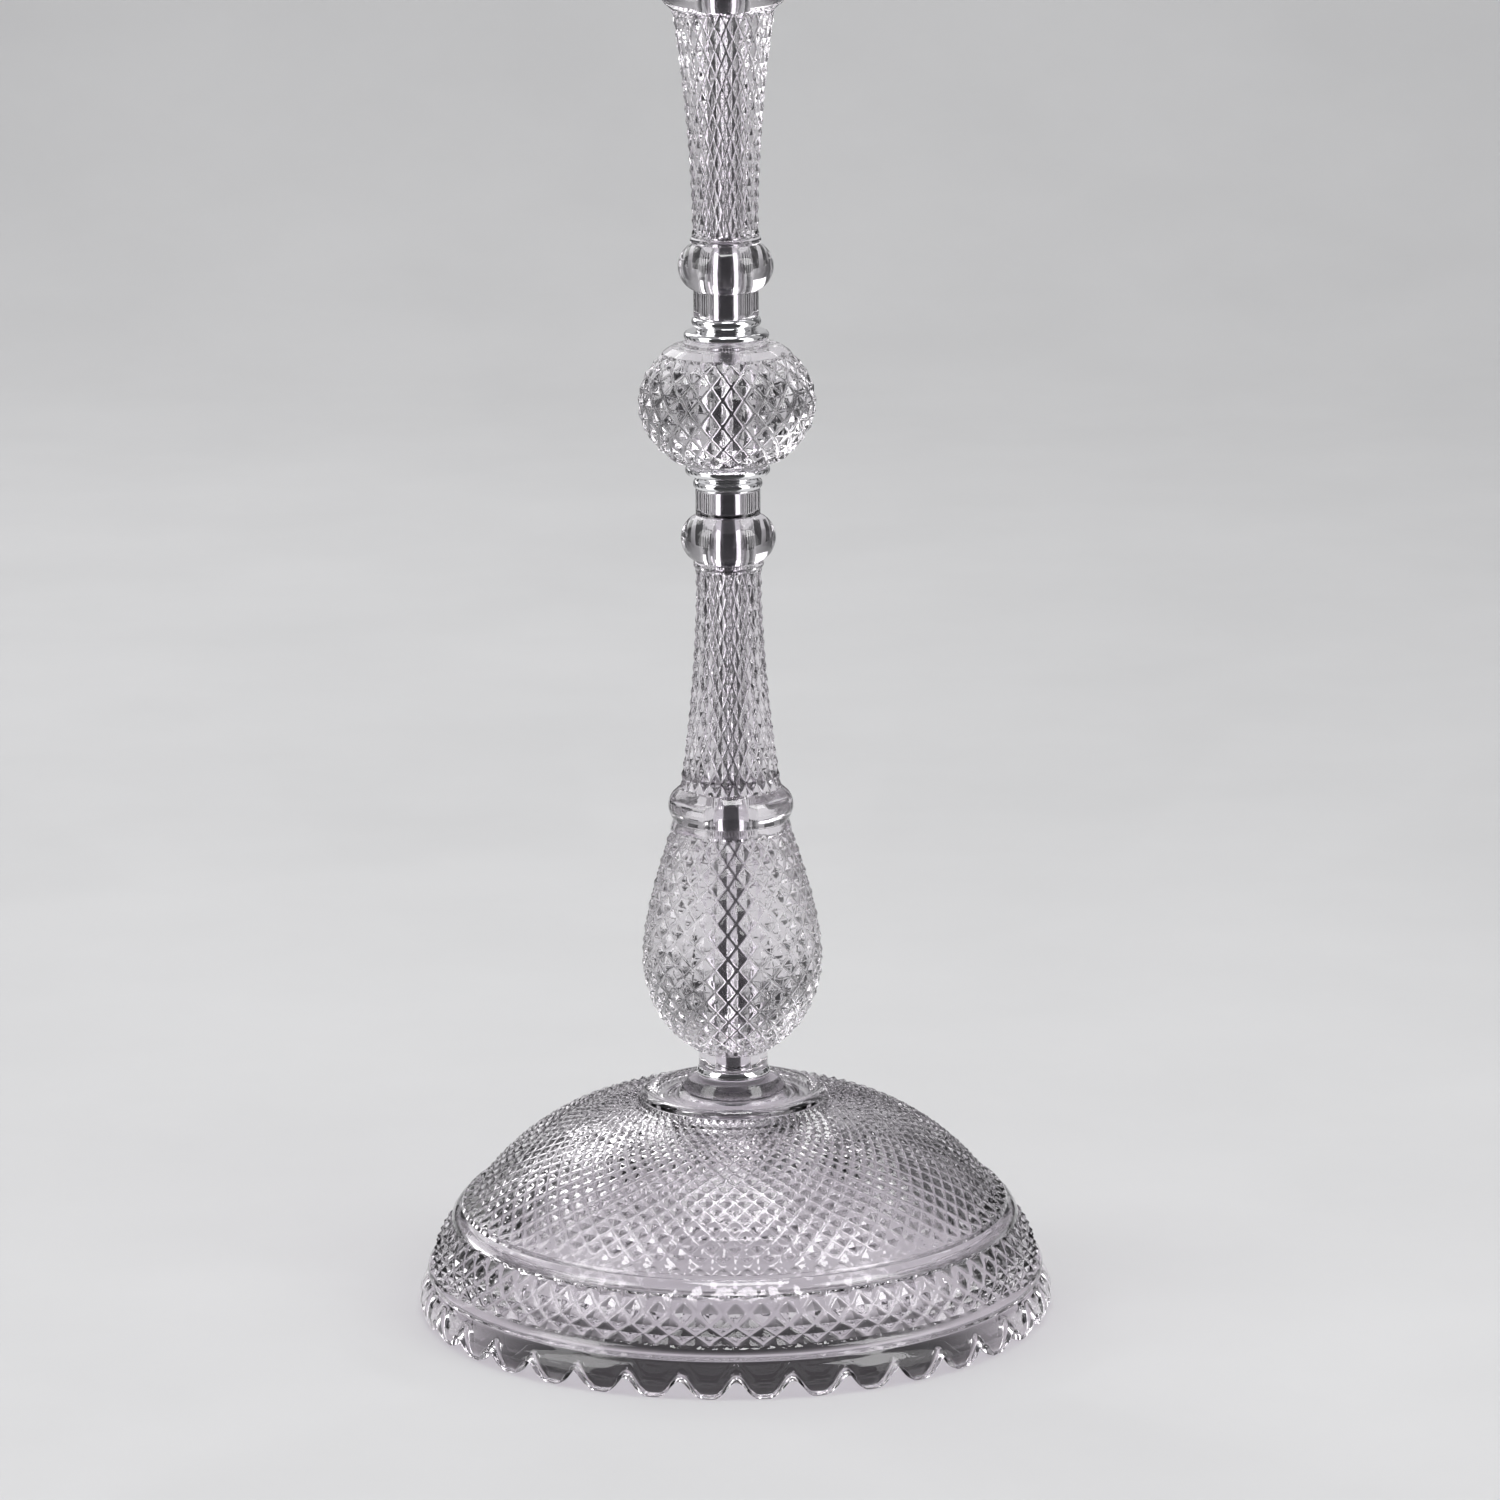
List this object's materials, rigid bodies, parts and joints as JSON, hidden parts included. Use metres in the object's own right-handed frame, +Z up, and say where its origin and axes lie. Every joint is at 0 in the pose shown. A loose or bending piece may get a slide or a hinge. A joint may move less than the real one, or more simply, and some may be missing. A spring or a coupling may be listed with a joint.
{
  "type": "glass candlestick",
  "caption": "Tall candlestick of stacked diamond-cut clear glass parts with plated collars, a wide domed scalloped foot, a lift-off drip pan and a candle cup.",
  "frame": {"origin": "centre of the foot on the surface that the candlestick stands on", "axes": "+Z up along the column; the candlestick is the same all round, and the gap between two petals of the foot lies on +X"},
  "size_m": [0.1996, 0.1996, 0.5355],
  "materials": {
    "clear_glass": "clear pressed glass with a faint lilac tint",
    "plated_metal": "bright plated",
    "plain_steel": "zinc-plated, thread-rolled",
    "clear_plastic": "translucent soft plastic"
  },
  "bodies": {
    "stand": {"base_dome": "clear_glass", "base_bush": "clear_plastic", "base_gasket": "clear_plastic", "base_washer": "plain_steel", "base_lock_washer": "plain_steel", "base_nut": "plain_steel", "tie_rod": "plain_steel", "base_seat_washer": "clear_plastic", "base_collar": "plated_metal", "lower_foot_washer": "clear_plastic", "lower_baluster": "clear_glass", "lower_sleeve": "plated_metal", "lower_neck_washer": "clear_plastic", "lower_ball_collar": "plated_metal", "lower_ball_washer": "clear_plastic", "ball_knop": "clear_glass", "ball_sleeve": "plated_metal", "upper_ball_washer": "clear_plastic", "upper_ball_collar": "plated_metal", "upper_neck_washer": "clear_plastic", "upper_baluster": "clear_glass", "upper_sleeve": "plated_metal", "upper_foot_washer": "clear_plastic", "top_collar": "plated_metal", "pan_seat": "plated_metal", "pan_gasket": "clear_plastic", "candle_cup": "plated_metal", "cup_washer": "plain_steel", "cup_nut": "plain_steel"},
    "drip_pan": {"drip_pan": "clear_glass"}
  },
  "joints": [
    {"name": "drip_pan_lift", "type": "slide", "parent": "stand", "child": "drip_pan", "axis": [0, 0, 1], "range_m": [0, 0.045]}
  ]
}
